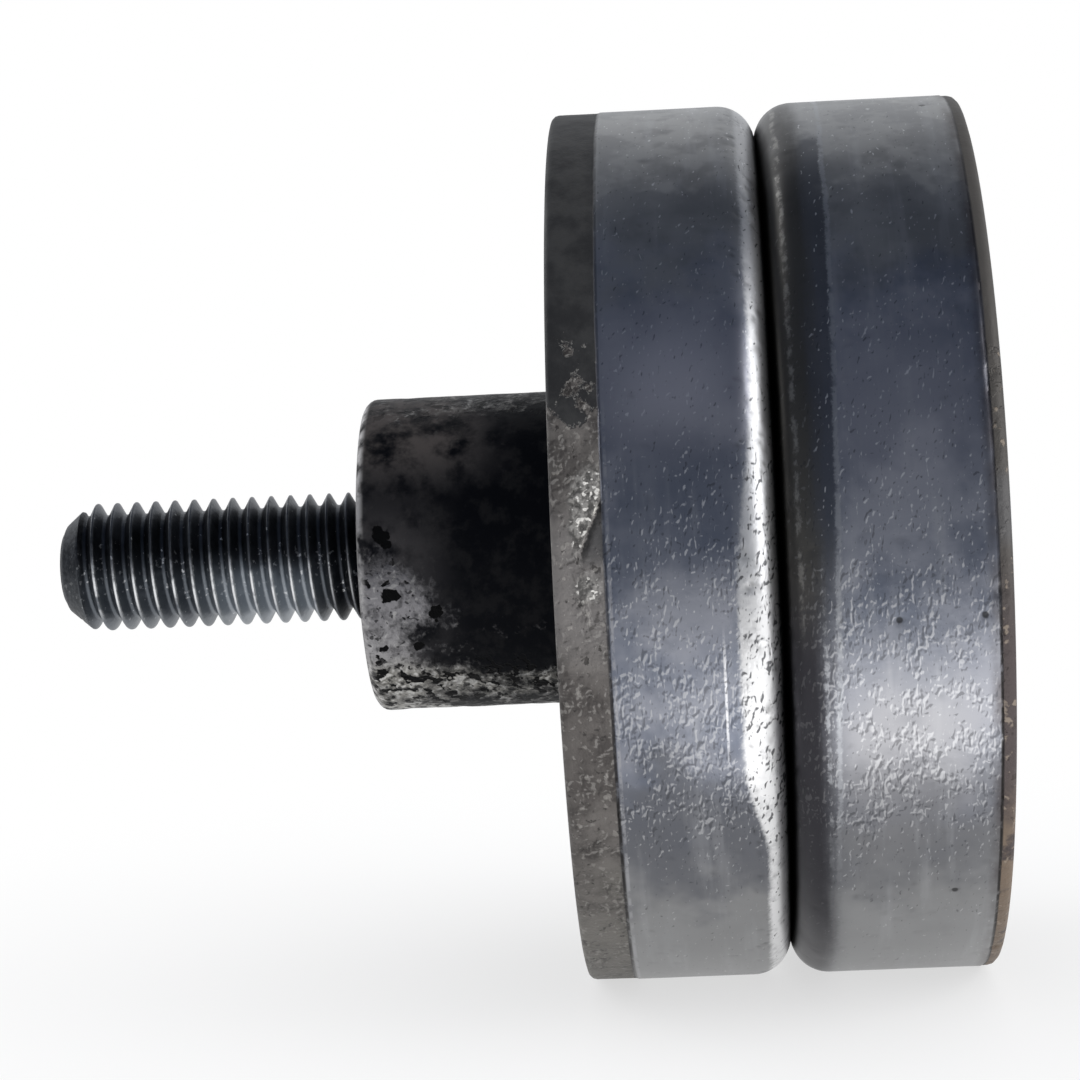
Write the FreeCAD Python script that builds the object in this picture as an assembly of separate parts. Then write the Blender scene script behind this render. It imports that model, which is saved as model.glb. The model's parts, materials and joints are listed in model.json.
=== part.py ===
"""Belt tensioner pulley, in millimetres.

Two drawn steel cups are riveted back to back around a sealed ball bearing. A hex bolt goes through
the bearing and a spacer sleeve, and its thread stands out to fix the pulley to a machine.
The spin axis is Y, the thread points to +Y, and the origin is on the axis where the two cups meet.
The thread side is the back of the pulley.
"""

import FreeCAD
import Part

import math
import os

from FreeCAD import Vector

# Cups, drawn from sheet: a web, a rim, and a pocket with a lip for the bearing
wheel_diameter = 66.0
wheel_width = 30.2
sheet_thickness = 2.0
web_bend_radius = 0.8
lip_bend_radius = 0.5
lip_width = 2.3
rim_edge_inside = 0.4

# Rough band that the drawing die leaves at each rim, with a scored line where it begins
back_band_width = 3.5
front_band_width = 1.0
back_rim_edge = 0.5
front_rim_edge = 0.6
band_step = 0.06
score_width = 0.25
score_depth = 0.12

# Rivets through both webs
rivet_count = 6
rivet_diameter = 4.0
rivet_head_diameter = 7.0
rivet_head_height = 2.4
rivet_tail_diameter = 6.4
rivet_tail_height = 1.8
rivet_hole_clearance = 0.05

# Bearing rings, balls and seals
bearing_bore = 10.0
bearing_outside = 35.0
bearing_width = 11.0
bearing_corner = 0.8
bearing_seat_clearance = 0.01
ball_count = 7
ball_diameter = 6.35
ball_clearance = 0.03
groove_ease = 0.13
land_gap = 4.7
seal_thickness = 1.0
seal_recess = 0.3
seal_seat_wall = 2.6
seal_seat_clearance = 0.01
seal_lip_clearance = 0.1
seal_border = 1.0
seal_dish = 0.35

# Ribbon cage: two pressed halves, riveted together between the balls
cage_sheet = 0.7
cage_width = 3.0
cage_pocket_clearance = 0.1
cage_rivet_diameter = 0.9
cage_rivet_head_diameter = 1.6
cage_rivet_head_height = 0.35
cage_rivet_clearance = 0.02

# Hex bolt, with a rolled neck between its shank and its thread
bolt_length = 60.0
shank_clearance = 0.05
thread_ease = 0.025
neck_depth = 0.45
neck_length = 2.0
point_depth = 1.8
point_length = 2.1
head_across_flats = 17.0
head_height = 6.4
head_face_diameter = 15.6
head_face_height = 0.6
head_chamfer = 0.6
head_chamfer_degrees = 30.0

# Spacer sleeve, and the washer that keeps it off the bearing's seal
sleeve_diameter = 24.0
sleeve_length = 23.5
sleeve_clearance = 0.15
sleeve_edge = 0.9
sleeve_bore_chamfer = 0.5
washer_thickness = 1.6
washer_clearance = 0.3

# Radii and places that follow from the sizes above
rim_radius = wheel_diameter / 2
half_width = wheel_width / 2
pocket_radius = bearing_outside / 2 + bearing_seat_clearance
pocket_depth = bearing_width / 2
web_inner_radius = pocket_radius + sheet_thickness + web_bend_radius
web_outer_radius = rim_radius - sheet_thickness - web_bend_radius
rivet_circle_radius = (web_inner_radius + web_outer_radius) / 2
pitch_radius = (bearing_bore + bearing_outside) / 4
ball_radius = ball_diameter / 2
groove_radius = ball_radius + groove_ease
inner_land_radius = pitch_radius - land_gap / 2
outer_land_radius = pitch_radius + land_gap / 2
seal_seat_radius = bearing_outside / 2 - seal_seat_wall
seal_outer_face = pocket_depth - seal_recess
seal_inner_face = seal_outer_face - seal_thickness
shank_radius = bearing_bore / 2 - shank_clearance
thread_radius = shank_radius - thread_ease
neck_radius = thread_radius - neck_depth
head_seat = -pocket_depth
bolt_tip = head_seat + bolt_length
sleeve_start = pocket_depth + washer_thickness
sleeve_face = sleeve_start + sleeve_length

ORIGIN = Vector(0, 0, 0)
SPIN_AXIS = Vector(0, 1, 0)
CROSS_AXIS = Vector(1, 0, 0)
CLOSE_ENOUGH = 1e-7


def on_arc(radius, height, arc_radius, degrees):
    angle = math.radians(degrees)
    return Vector(radius + arc_radius * math.cos(angle), height + arc_radius * math.sin(angle), 0)


def drawn(step):
    """Start, curve and end of one step of an outline."""
    if len(step) == 2:
        point = Vector(*step, 0)
        return point, [], point
    radius, height, arc_radius, first, last = step
    start = on_arc(radius, height, arc_radius, first)
    middle = on_arc(radius, height, arc_radius, (first + last) / 2)
    end = on_arc(radius, height, arc_radius, last)
    return start, [Part.Arc(start, middle, end).toShape()], end


def turned(*steps):
    """Solid of revolution about the spin axis.

    A step is a point (radius, height along Y), or an arc (radius and height of its centre, its own
    radius, from degrees, to degrees). Straight lines join the steps, and the last to the first.
    """
    pieces = [drawn(step) for step in steps]
    edges = []
    for (_, curve, end), (next_start, _, _) in zip(pieces, pieces[1:] + pieces[:1]):
        edges += curve
        if end.distanceToPoint(next_start) > CLOSE_ENOUGH:
            edges.append(Part.LineSegment(end, next_start).toShape())
    return Part.Face(Part.Wire(edges)).revolve(ORIGIN, SPIN_AXIS, 360)


def flipped(shape):
    """The same piece turned end for end, for the other side of the wheel."""
    other = shape.copy()
    other.rotate(ORIGIN, CROSS_AXIS, 180)
    return other


def placed(shape, centre):
    moved = shape.copy()
    moved.translate(centre)
    return moved


def around(count, radius, offset_degrees=0.0):
    """Centres of pieces spaced evenly around the spin axis."""
    angles = [math.radians(offset_degrees + 360 * i / count) for i in range(count)]
    return [Vector(radius * math.cos(a), 0, radius * math.sin(a)) for a in angles]


def rivet(shank, grip, head, head_height, tail, tail_height):
    """Rivet on the Y axis: round head below, formed tail above, and the grip between them."""

    def dome(radius, height):
        dome_radius = (radius * radius + height * height) / (2 * height)
        return dome_radius, math.degrees(math.acos(radius / dome_radius))

    head_dome, head_rim = dome(head, head_height)
    tail_dome, tail_rim = dome(tail, tail_height)
    return turned(
        (0, head_dome - head_height - grip / 2, head_dome, -90, -head_rim),
        (shank, -grip / 2),
        (shank, grip / 2),
        (0, grip / 2 + tail_height - tail_dome, tail_dome, tail_rim, 90),
    )


def cup(band_width, rim_edge):
    """Drawn cup with its web on y = 0 and its rim open to +Y."""
    lip_radius = bearing_outside / 2 - lip_width
    lip_bend = (pocket_radius - lip_bend_radius, pocket_depth - lip_bend_radius)
    bend = web_bend_radius + sheet_thickness
    band_start = half_width - band_width
    band_radius = rim_radius - band_step
    inside_edge = rim_radius - sheet_thickness + rim_edge_inside
    wall = turned(
        (lip_radius, pocket_depth),
        (*lip_bend, lip_bend_radius, 90, 0),
        (web_inner_radius, bend, bend, 180, 270),
        (web_outer_radius, bend, bend, 270, 360),
        (rim_radius, band_start - score_width / 2),
        (rim_radius - score_depth, band_start),
        (band_radius, band_start + score_width / 2),
        (band_radius - rim_edge, half_width - rim_edge, rim_edge, 0, 90),
        (inside_edge, half_width - rim_edge_inside, rim_edge_inside, 90, 180),
        (web_outer_radius, bend, web_bend_radius, 360, 270),
        (web_inner_radius, bend, web_bend_radius, 270, 180),
        (*lip_bend, lip_bend_radius + sheet_thickness, 0, 90),
        (lip_radius, pocket_depth + sheet_thickness),
    )
    hole_radius = rivet_diameter / 2 + rivet_hole_clearance
    hole = Part.makeCylinder(hole_radius, 3 * sheet_thickness, -SPIN_AXIS * sheet_thickness, SPIN_AXIS)
    holes = [placed(hole, centre) for centre in around(rivet_count, rivet_circle_radius)]
    return wall.cut(holes)


def shell_rivets():
    """Rivets that hold the two webs together, round heads on the front."""
    one = rivet(
        rivet_diameter / 2,
        2 * sheet_thickness,
        rivet_head_diameter / 2,
        rivet_head_height,
        rivet_tail_diameter / 2,
        rivet_tail_height,
    )
    return Part.makeCompound([placed(one, c) for c in around(rivet_count, rivet_circle_radius)])


def bearing_outer_ring():
    """Ring with the ball groove inside, and a step at each face that seats a seal."""
    outside = bearing_outside / 2
    groove_centre = pitch_radius + ball_radius + ball_clearance - groove_radius
    groove_edge = math.degrees(math.acos((outer_land_radius - groove_centre) / groove_radius))
    return turned(
        (outside, pocket_depth - bearing_corner),
        (outside - bearing_corner, pocket_depth),
        (seal_seat_radius, pocket_depth),
        (seal_seat_radius, seal_inner_face),
        (outer_land_radius, seal_inner_face),
        (groove_centre, 0, groove_radius, groove_edge, -groove_edge),
        (outer_land_radius, -seal_inner_face),
        (seal_seat_radius, -seal_inner_face),
        (seal_seat_radius, -pocket_depth),
        (outside - bearing_corner, -pocket_depth),
        (outside, bearing_corner - pocket_depth),
    )


def bearing_inner_ring():
    """Ring with the ball groove outside, clamped between bolt head and washer."""
    bore = bearing_bore / 2
    groove_centre = pitch_radius - ball_radius - ball_clearance + groove_radius
    groove_edge = math.degrees(math.acos((groove_centre - inner_land_radius) / groove_radius))
    return turned(
        (bore, bearing_corner - pocket_depth),
        (bore + bearing_corner, -pocket_depth),
        (inner_land_radius, -pocket_depth),
        (groove_centre, 0, groove_radius, 180 + groove_edge, 180 - groove_edge),
        (inner_land_radius, pocket_depth),
        (bore + bearing_corner, pocket_depth),
        (bore, pocket_depth - bearing_corner),
    )


def bearing_seal():
    """Rubber-faced disc for the +Y side, dished between its two borders."""
    inner = inner_land_radius + seal_lip_clearance
    outer = seal_seat_radius - seal_seat_clearance
    return turned(
        (inner, seal_inner_face),
        (outer, seal_inner_face),
        (outer, seal_outer_face),
        (outer - seal_border, seal_outer_face),
        (outer - seal_border - seal_dish, seal_outer_face - seal_dish),
        (inner + seal_border + seal_dish, seal_outer_face - seal_dish),
        (inner + seal_border, seal_outer_face),
        (inner, seal_outer_face),
    )


def cage_half():
    """Pressed ribbon on the +Y side: flat between the balls, domed over each of them."""
    inner = pitch_radius - cage_width / 2
    outer = pitch_radius + cage_width / 2
    pocket = ball_radius + cage_pocket_clearance
    dome = pocket + cage_sheet
    centres = around(ball_count, pitch_radius)
    flat_ring = turned((inner, 0), (outer, 0), (outer, cage_sheet), (inner, cage_sheet))
    tall_ring = turned((inner, 0), (outer, 0), (outer, 2 * dome), (inner, 2 * dome))
    domes = [tall_ring.common(Part.makeSphere(dome, c, c)) for c in centres]
    pockets = [Part.makeSphere(pocket, c, c) for c in centres]
    hole_radius = cage_rivet_diameter / 2 + cage_rivet_clearance
    hole = Part.makeCylinder(hole_radius, 3 * cage_sheet, -SPIN_AXIS * cage_sheet, SPIN_AXIS)
    holes = [placed(hole, c) for c in around(ball_count, pitch_radius, 180 / ball_count)]
    return flat_ring.fuse(domes).removeSplitter().cut(pockets).cut(holes)


def cage_rivets():
    """Small rivets through the flats of both cage halves."""
    head = cage_rivet_head_diameter / 2
    height = cage_rivet_head_height
    one = rivet(cage_rivet_diameter / 2, 2 * cage_sheet, head, height, head, height)
    centres = around(ball_count, pitch_radius, 180 / ball_count)
    return Part.makeCompound([placed(one, centre) for centre in centres])


def mounting_bolt():
    """Hex bolt from the front: washer face, shank, neck, and the thread at its major diameter."""
    face_top = head_seat - head_face_height
    head_top = head_seat - head_height
    neck_start = sleeve_face - neck_length
    neck_taper = shank_radius - neck_radius
    stem = turned(
        (0, face_top),
        (head_face_diameter / 2, face_top),
        (head_face_diameter / 2, head_seat),
        (shank_radius, head_seat),
        (shank_radius, neck_start),
        (neck_radius, neck_start + neck_taper),
        (neck_radius, sleeve_face),
        (thread_radius, sleeve_face),
        (thread_radius, bolt_tip - point_length),
        (thread_radius - point_depth, bolt_tip),
        (0, bolt_tip),
    )
    corner_radius = head_across_flats / math.sqrt(3)
    corners = around(6, corner_radius)
    hexagon = Part.makePolygon(corners + corners[:1])
    prism = Part.Face(hexagon).extrude(SPIN_AXIS * (head_height - head_face_height))
    prism.translate(SPIN_AXIS * head_top)
    crown_radius = head_across_flats / 2 - head_chamfer
    crown_drop = (corner_radius - crown_radius) * math.tan(math.radians(head_chamfer_degrees))
    crown = turned(
        (0, head_top),
        (crown_radius, head_top),
        (corner_radius, head_top + crown_drop),
        (corner_radius, head_seat),
        (0, head_seat),
    )
    return stem.fuse(prism.common(crown)).removeSplitter()


def spacer_washer():
    """Plain washer that covers the inner ring's face."""
    bore = shank_radius + washer_clearance
    return turned(
        (bore, pocket_depth),
        (inner_land_radius, pocket_depth),
        (inner_land_radius, sleeve_start),
        (bore, sleeve_start),
    )


def spacer_sleeve():
    """Round boss around the bolt, with a rounded edge at the face that seats on the machine."""
    outside = sleeve_diameter / 2
    bore = shank_radius + sleeve_clearance
    chamfer = sleeve_bore_chamfer
    return turned(
        (bore, sleeve_start + chamfer),
        (bore + chamfer, sleeve_start),
        (outside - chamfer, sleeve_start),
        (outside, sleeve_start + chamfer),
        (outside - sleeve_edge, sleeve_face - sleeve_edge, sleeve_edge, 0, 90),
        (bore + chamfer, sleeve_face),
        (bore, sleeve_face - chamfer),
    )


seal = bearing_seal()
cage = cage_half()

nodes = {
    "back_shell": cup(back_band_width, back_rim_edge),
    "front_shell": flipped(cup(front_band_width, front_rim_edge)),
    "shell_rivets": shell_rivets(),
    "bearing_outer_ring": bearing_outer_ring(),
    "bearing_inner_ring": bearing_inner_ring(),
    "bearing_back_seal": seal,
    "bearing_front_seal": flipped(seal),
    "cage_back_half": cage,
    "cage_front_half": flipped(cage),
    "cage_rivets": cage_rivets(),
    "mounting_bolt": mounting_bolt(),
    "spacer_washer": spacer_washer(),
    "spacer_sleeve": spacer_sleeve(),
}
for number, centre in enumerate(around(ball_count, pitch_radius), start=1):
    nodes[f"bearing_ball_{number}"] = Part.makeSphere(ball_radius, centre)

os.makedirs("parts", exist_ok=True)
for name, shape in nodes.items():
    shape.exportStep(f"parts/{name}.step")
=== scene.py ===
"""Belt tensioner pulley: the looks of the part, in metres.

The spin axis is Y, the thread points to +Y and the camera stands at -X, so the thread is on the left.
Inside the materials, places and lengths are in millimetres.
"""

import json
import math
import random

import bmesh
import bpy
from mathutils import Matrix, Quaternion, Vector, kdtree, noise


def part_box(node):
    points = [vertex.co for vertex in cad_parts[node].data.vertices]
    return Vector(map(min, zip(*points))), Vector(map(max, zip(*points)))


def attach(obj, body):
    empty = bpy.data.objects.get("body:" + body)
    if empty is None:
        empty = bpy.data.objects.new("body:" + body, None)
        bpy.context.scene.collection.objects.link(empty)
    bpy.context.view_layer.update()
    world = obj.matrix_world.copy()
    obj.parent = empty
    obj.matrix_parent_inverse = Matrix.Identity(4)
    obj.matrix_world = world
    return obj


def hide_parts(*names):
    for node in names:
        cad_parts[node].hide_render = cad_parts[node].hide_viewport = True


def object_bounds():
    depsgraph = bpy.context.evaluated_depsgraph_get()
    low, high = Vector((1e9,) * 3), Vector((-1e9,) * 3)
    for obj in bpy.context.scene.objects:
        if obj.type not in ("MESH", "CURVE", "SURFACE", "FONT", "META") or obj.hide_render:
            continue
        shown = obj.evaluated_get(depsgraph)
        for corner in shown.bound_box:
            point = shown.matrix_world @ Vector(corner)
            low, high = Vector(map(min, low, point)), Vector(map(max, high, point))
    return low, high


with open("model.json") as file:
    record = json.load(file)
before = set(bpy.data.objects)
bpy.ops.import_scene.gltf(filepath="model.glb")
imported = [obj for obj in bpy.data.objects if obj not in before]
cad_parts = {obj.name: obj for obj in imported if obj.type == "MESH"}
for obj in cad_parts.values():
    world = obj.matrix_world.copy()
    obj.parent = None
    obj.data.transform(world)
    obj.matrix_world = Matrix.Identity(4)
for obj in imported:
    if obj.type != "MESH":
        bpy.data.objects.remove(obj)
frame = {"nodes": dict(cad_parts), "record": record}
cad_low, cad_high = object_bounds()
mm = 0.001

# Camera, nearly level and square to the spin axis. It stands close with a long lens,
# so both rims bulge outwards, and it is tipped a little, so the thread end hangs lower.
camera_place = Vector((-222.23, 4.39, 14.73)) * mm
camera_aim = Vector((0.0, 14.45, 5.08)) * mm
camera_roll = math.radians(2.72)
camera_data = bpy.data.cameras.new("camera")
camera_data.sensor_width = 36.0
camera_data.lens = 96.5
camera_data.shift_x = -0.037
camera_data.shift_y = -0.0556
camera_data.clip_start = 0.01
camera = bpy.data.objects.new("camera", camera_data)
camera.rotation_mode = "QUATERNION"
camera.location = camera_place
looking = (camera_aim - camera_place).to_track_quat("-Z", "Y")
camera.rotation_quaternion = looking @ Quaternion((0, 0, 1), -camera_roll)
bpy.context.scene.collection.objects.link(camera)
bpy.context.scene.camera = camera
bpy.context.scene.view_settings.view_transform = "Standard"


# Sheet of pale paper under the rim. The eye and the metal see it nearly white, the part's own
# shadow stays on it, and it fades into the white background before it ends.
class Value:
    """A number that changes over a surface: a node's socket that can be used in plain sums."""

    def __init__(self, socket):
        self.socket = socket
        self.tree = socket.id_data

    def __add__(self, other):
        return calc("ADD", self, other)

    def __sub__(self, other):
        return calc("SUBTRACT", self, other)

    def __rsub__(self, other):
        return calc("SUBTRACT", other, self)

    def __mul__(self, other):
        return calc("MULTIPLY", self, other)

    def __pow__(self, other):
        return calc("POWER", self, other)

    def __abs__(self):
        return calc("ABSOLUTE", self)


def feed(node, name, value):
    """Set a node's input to a plain value, or join a socket to it."""
    value = getattr(value, "socket", value)
    if isinstance(value, bpy.types.NodeSocket):
        node.id_data.links.new(value, node.inputs[name])
    else:
        node.inputs[name].default_value = value


def add(tree, kind, inputs=(), **settings):
    """A new node with its settings and its inputs."""
    node = tree.nodes.new(kind)
    for name, value in settings.items():
        setattr(node, name, value)
    for name, value in dict(inputs).items():
        feed(node, name, value)
    return node


def results(node):
    """A node's outputs by name, as values."""
    return {output.name: Value(output) for output in node.outputs}


def calc(operation, *values):
    """The result of one sum on values and plain numbers."""
    tree = next(value.tree for value in values if isinstance(value, Value))
    return Value(add(tree, "ShaderNodeMath", dict(enumerate(values)), operation=operation).outputs[0])


def vector_calc(operation, place, *others):
    """The outputs of one sum on a place's three coordinates."""
    places = dict(enumerate((place, *others)))
    return add(place.id_data, "ShaderNodeVectorMath", places, operation=operation).outputs


def largest(value, *others):
    """The largest of several values."""
    for other in others:
        value = calc("MAXIMUM", value, other)
    return value


def ramp(value, low, high, top=1.0):
    """0 where the value is at low, top where it is at high, and a smooth rise between them."""
    limits = {"Value": value, "From Min": low, "From Max": high, "To Max": top}
    return Value(add(value.tree, "ShaderNodeMapRange", limits, interpolation_type="SMOOTHSTEP").outputs[0])


def mix(share, first, second):
    """A colour between the first and the second, given as sockets or as red, green and blue."""
    first, second = ((*shade, 1) if isinstance(shade, tuple) else shade for shade in (first, second))
    colours = {"Factor": share, "A": first, "B": second}
    return add(share.tree, "ShaderNodeMix", colours, data_type="RGBA").outputs["Result"]


paper_size = 0.52
paper_shift = 0.07
paper_white = (0.92, 0.92, 0.92, 1)
shadow_share = 0.38
shadow_fades_from = 0.03
shadow_fades_to = 0.12
paper = bpy.data.materials.new("pale_paper")
paper.use_nodes = True
tree = paper.node_tree
tree.nodes.clear()
path = results(add(tree, "ShaderNodeLightPath"))
seen = largest(path["Is Camera Ray"], path["Is Glossy Ray"], path["Is Transmission Ray"])
on_paper = add(tree, "ShaderNodeTexCoord").outputs["Object"]
from_axis = Value(vector_calc("LENGTH", on_paper)["Value"])
shadow = ramp(from_axis, shadow_fades_to, shadow_fades_from, shadow_share)
lit = add(tree, "ShaderNodeBsdfDiffuse", {"Color": paper_white})
white = add(tree, "ShaderNodeEmission", {"Color": (1, 1, 1, 1), "Strength": 1.0})
sheet = add(tree, "ShaderNodeMixShader", {0: seen * (1.0 - shadow), 1: lit.outputs[0], 2: white.outputs[0]})
add(tree, "ShaderNodeOutputMaterial", {"Surface": sheet.outputs[0]})

shape = bmesh.new()
bmesh.ops.create_grid(shape, x_segments=1, y_segments=1, size=paper_size / 2)
bmesh.ops.translate(shape, verts=shape.verts, vec=(paper_shift, 0, cad_low.z))
floor_mesh = bpy.data.meshes.new("floor")
shape.to_mesh(floor_mesh)
shape.free()
floor_mesh.materials.append(paper)
floor = bpy.data.objects.new("floor", floor_mesh)
bpy.context.scene.collection.objects.link(floor)


# Studio light: a white room behind the part, a dim bluish one behind the camera, a broad soft
# window on the head side, and a low strip in front that lights the belt track from below.
def axes_of(place):
    """The three coordinates of a place, as values."""
    return results(add(place.id_data, "ShaderNodeSeparateXYZ", {0: place})).values()


dim_room = (0.10, 0.12, 0.165)
white_room = (0.95, 0.97, 1.0)
plain_light = (0.85, 0.86, 0.88)
horizon_light = 0.24
world = bpy.data.worlds.new("studio")
world.use_nodes = True
bpy.context.scene.world = world
tree = world.node_tree
tree.nodes.clear()
backwards, _, upwards = axes_of(add(tree, "ShaderNodeTexCoord").outputs["Generated"])
behind = ramp(backwards, 0.34, 0.72)
level = ramp(upwards, 0.80, 0.0, horizon_light)
room = mix(largest(behind, level), dim_room, white_room)
path = results(add(tree, "ShaderNodeLightPath"))
light = mix(largest(path["Is Glossy Ray"], path["Is Transmission Ray"]), plain_light, room)
shown = mix(path["Is Camera Ray"], light, (1, 1, 1))
sky = add(tree, "ShaderNodeBackground", {"Color": shown, "Strength": 1.0})
add(tree, "ShaderNodeOutputWorld", {"Surface": sky.outputs[0]})


def soft_lamp(name, place, aim, width, height, brightness):
    """Rectangular lamp that the eye doesn't see; brightness 1 is as bright as white paper."""
    data = bpy.data.lights.new(name, "AREA")
    data.shape = "RECTANGLE"
    data.size, data.size_y = width, height
    data.energy = brightness * math.pi * width * height
    lamp = bpy.data.objects.new(name, data)
    lamp.location = place
    lamp.rotation_mode = "QUATERNION"
    lamp.rotation_quaternion = (Vector(aim) - Vector(place)).to_track_quat("-Z", "Y")
    lamp.visible_camera = False
    bpy.context.scene.collection.objects.link(lamp)


strip_place = (-63 * mm, -70 * mm)
strip_height = cad_low.z + 0.5 * mm
strip_size = (44 * mm, 150 * mm)
middle = (0, 0, 0)
soft_lamp("low_strip", (*strip_place, strip_height), (*strip_place, 0), *strip_size, brightness=1.2)
soft_lamp("window", (-0.16, -0.39, 0.10), middle, width=0.30, height=0.50, brightness=2.6)
soft_lamp("back_fill", (0.25, 0.42, 0.30), middle, width=0.35, height=0.35, brightness=1.2)

# Two cups drawn from steel sheet, back to back. Each has a web, a rim, and a pocket with a lip that
# holds the bearing. The die has ironed the outside, apart from a rough band at the open rim.
rim_radius = cad_high.z
half_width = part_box("back_shell")[1].y
bearing_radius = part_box("bearing_outer_ring")[1].x
bearing_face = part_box("bearing_outer_ring")[1].y
sheet_thickness = 2.0 * mm
bend = 0.8 * mm
outside_bend = bend + sheet_thickness
lip_width = 2.3 * mm
lip_bend = 0.5 * mm
inside_edge = 0.4 * mm
back_rim_edge = 0.5 * mm
front_rim_edge = 0.6 * mm
back_band_width = 3.5 * mm
front_band_width = 1.0 * mm
band_step = 0.06 * mm
score_width = 0.25 * mm
score_depth = 0.12 * mm
around_steps = 720
row_width = 0.3 * mm
bend_row_width = 0.18 * mm
merge_distance = 0.0005 * mm
rivet_count = 6
rivet_hole_radius = 2.05 * mm
rivet_circle_radius = (bearing_radius + rim_radius) / 2
dark_pit_depth = 0.12 * mm
band_bumps = (0.025, (0.02, 420), (0.012, 1300))
wall_bumps = (0.02, (0.015, 90), (0.006, 420))
tear_depth = 0.16 * mm
scab_height = 0.03 * mm
z_onto_y = Quaternion((1, 0, 0), math.pi / 2).to_matrix()


def section(*corners):
    """Closed outline of (radius, along Y, rounding) corners, as a flat bmesh of one face."""
    flat = bmesh.new()
    points = [flat.verts.new((radius, along, 0)) for radius, along, _ in corners]
    flat.faces.new(points)
    for point, (_, _, rounding) in zip(points, corners):
        if rounding:
            bmesh.ops.bevel(
                flat, geom=[point], offset=rounding, offset_type="OFFSET", profile=0.5,
                segments=max(3, round(rounding / bend_row_width)), affect="VERTICES", material=-1,
            )
    return flat


def rowed(flat, beyond, width):
    """Divide a section's edges beyond a radius into rows of about one width."""
    for edge in [edge for edge in flat.edges if min(vert.co.x for vert in edge.verts) > beyond]:
        rows = round(edge.calc_length() / width)
        if rows > 1:
            bmesh.ops.subdivide_edges(flat, edges=[edge], cuts=rows - 1)


def spun(flat, steps):
    """The section's outline turned about the spin axis, as one closed skin. Steps divide by 8."""
    bmesh.ops.delete(flat, geom=flat.faces, context="FACES_ONLY")
    turn = {"cent": (0, 0, 0), "axis": (0, 1, 0), "dvec": (0, 0, 0)}
    eighth = math.tau / 8
    bmesh.ops.spin(flat, geom=flat.verts[:] + flat.edges[:], angle=eighth, steps=steps // 8, **turn)
    sector = flat.verts[:] + flat.edges[:] + flat.faces[:]
    bmesh.ops.spin(flat, geom=sector, angle=math.tau - eighth, steps=7, use_duplicate=True, **turn)
    bmesh.ops.remove_doubles(flat, verts=flat.verts, dist=merge_distance)
    bmesh.ops.recalc_face_normals(flat, faces=flat.faces)
    return flat


def finished(name, shape, material, sharp_degrees):
    """A piece from a bmesh, smooth except at its real edges."""
    mesh = bpy.data.meshes.new(name)
    shape.to_mesh(mesh)
    shape.free()
    mesh.shade_smooth()
    mesh.set_sharp_from_angle(angle=math.radians(sharp_degrees))
    mesh.materials.append(material)
    piece = bpy.data.objects.new(name, mesh)
    bpy.context.scene.collection.objects.link(piece)
    return piece


def rise(value, low, high):
    """0 below low, 1 above high and smooth between, also with low above high."""
    share = min(1.0, max(0.0, (value - low) / (high - low)))
    return share * share * (3 - 2 * share)


def uneven(place, base, *waves):
    """A depth that changes from place to place: a base and waves of (height, waves to a metre)."""
    depth = base
    for height, often in waves:
        depth += height * noise.noise(place * often)
    return depth * mm


def degrees_up(place):
    """How far round the spin axis a place is from the -X line, upwards."""
    return math.degrees(math.atan2(place.z, -place.x))


def on_turn(degrees, radius, along):
    """The place at a radius and along Y, that many degrees up from the -X line."""
    angle = math.radians(degrees)
    return Vector((-radius * math.cos(angle), along, radius * math.sin(angle)))


def pitted(shape, mark, pits):
    """Press round pits of (place, radius, depth) into the skin, and write them in the mark layer."""
    near = kdtree.KDTree(len(shape.verts))
    for index, vert in enumerate(shape.verts):
        near.insert(vert.co, index)
    near.balance()
    shape.verts.ensure_lookup_table()
    for place, radius, depth in pits:
        for _, index, distance in near.find_range(place, radius):
            vert = shape.verts[index]
            share = (1 - (distance / radius) ** 2) ** 2
            vert.co -= vert.normal * depth * share
            vert[mark] = max(vert[mark], share * min(1.0, depth / dark_pit_depth))


def rivet_drills():
    """Six round bars where the rivets go through both webs."""
    bars = bmesh.new()
    for place in range(rivet_count):
        made = bmesh.ops.create_cone(
            bars, cap_ends=True, segments=48, radius1=rivet_hole_radius, radius2=rivet_hole_radius,
            depth=4 * sheet_thickness,
        )["verts"]
        bmesh.ops.rotate(bars, verts=made, cent=(0, 0, 0), matrix=z_onto_y)
        bmesh.ops.translate(bars, verts=made, vec=(rivet_circle_radius, 0, 0))
        turned = Quaternion((0, 1, 0), math.tau * place / rivet_count).to_matrix()
        bmesh.ops.rotate(bars, verts=made, cent=(0, 0, 0), matrix=turned)
    return bars


def pierced(piece, cutter_shape):
    """Cut holes in the piece with the solids of a bmesh."""
    cutter_mesh = bpy.data.meshes.new("cutter")
    cutter_shape.to_mesh(cutter_mesh)
    cutter_shape.free()
    cutter = bpy.data.objects.new("cutter", cutter_mesh)
    bpy.context.scene.collection.objects.link(cutter)
    cut = piece.modifiers.new("holes", "BOOLEAN")
    cut.operation = "DIFFERENCE"
    cut.solver = "EXACT"
    cut.object = cutter
    evaluated = piece.evaluated_get(bpy.context.evaluated_depsgraph_get())
    holed = bpy.data.meshes.new_from_object(evaluated)
    piece.modifiers.remove(cut)
    whole = piece.data
    piece.data = holed
    bpy.data.meshes.remove(whole)
    bpy.data.objects.remove(cutter)
    bpy.data.meshes.remove(cutter_mesh)
    holed.name = piece.name
    return piece


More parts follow.
